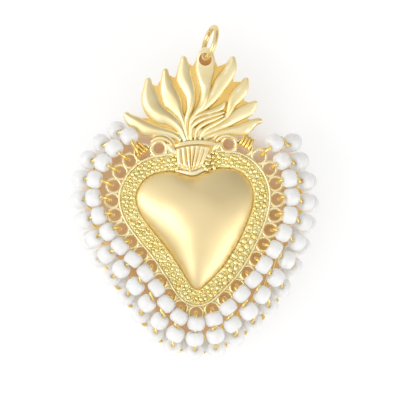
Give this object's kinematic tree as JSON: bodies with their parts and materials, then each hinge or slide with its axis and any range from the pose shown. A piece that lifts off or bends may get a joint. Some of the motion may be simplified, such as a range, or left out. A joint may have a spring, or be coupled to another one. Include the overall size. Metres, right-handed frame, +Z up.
{
  "type": "sacred heart pendant",
  "caption": "Puffed gold heart pendant with a flame crown, a granulated border and a fringe of white seed beads stitched round its pierced rim, hung from a jump ring.",
  "frame": {"origin": "centre of the jump ring's eye", "axes": "+X to the right as seen from the front, +Y from the front of the pendant to its back, +Z up"},
  "size_m": [0.0427, 0.0103, 0.0572],
  "materials": {
    "ring_gold": "polished gold plate",
    "plate_gold": "satin gold plate",
    "polished_gold": "polished gold plate",
    "grain_gold": "granulated gold plate",
    "satin_gold": "satin gold plate",
    "wire_gold": "bright gold-plated wire",
    "white_bead": "glossy opaque white"
  },
  "bodies": {
    "ring": {"jump_ring": "ring_gold"},
    "pendant": {"heart_plate": "plate_gold", "heart_dome": "polished_gold", "grain_border": "grain_gold", "rim_wire": "polished_gold", "flame_back": "satin_gold", "flame_tongues": "satin_gold", "crown_band": "satin_gold", "calyx_fan": "satin_gold", "scroll_left": "satin_gold", "scroll_right": "satin_gold", "binding_wire": "wire_gold", "bead_loop_01": "white_bead", "bead_loop_02": "white_bead", "bead_loop_03": "white_bead", "bead_loop_04": "white_bead", "bead_loop_05": "white_bead", "bead_loop_06": "white_bead", "bead_loop_07": "white_bead", "bead_loop_08": "white_bead", "bead_loop_09": "white_bead", "bead_loop_10": "white_bead", "bead_loop_11": "white_bead", "bead_loop_12": "white_bead", "bead_loop_13": "white_bead", "bead_loop_14": "white_bead", "bead_loop_15": "white_bead", "bead_loop_16": "white_bead", "bead_loop_17": "white_bead", "bead_loop_18": "white_bead", "bead_loop_19": "white_bead", "bead_loop_20": "white_bead", "bead_loop_21": "white_bead", "bead_loop_22": "white_bead", "bead_loop_23": "white_bead", "bead_loop_24": "white_bead", "bead_loop_25": "white_bead", "bead_loop_26": "white_bead"}
  },
  "joints": [
    {"name": "ring_swing", "type": "hinge", "parent": "ring", "child": "pendant", "pos_m": [-0.00079, 0, -0.00258], "axis": [0, 1, 0], "range_deg": [-28, 62]}
  ]
}
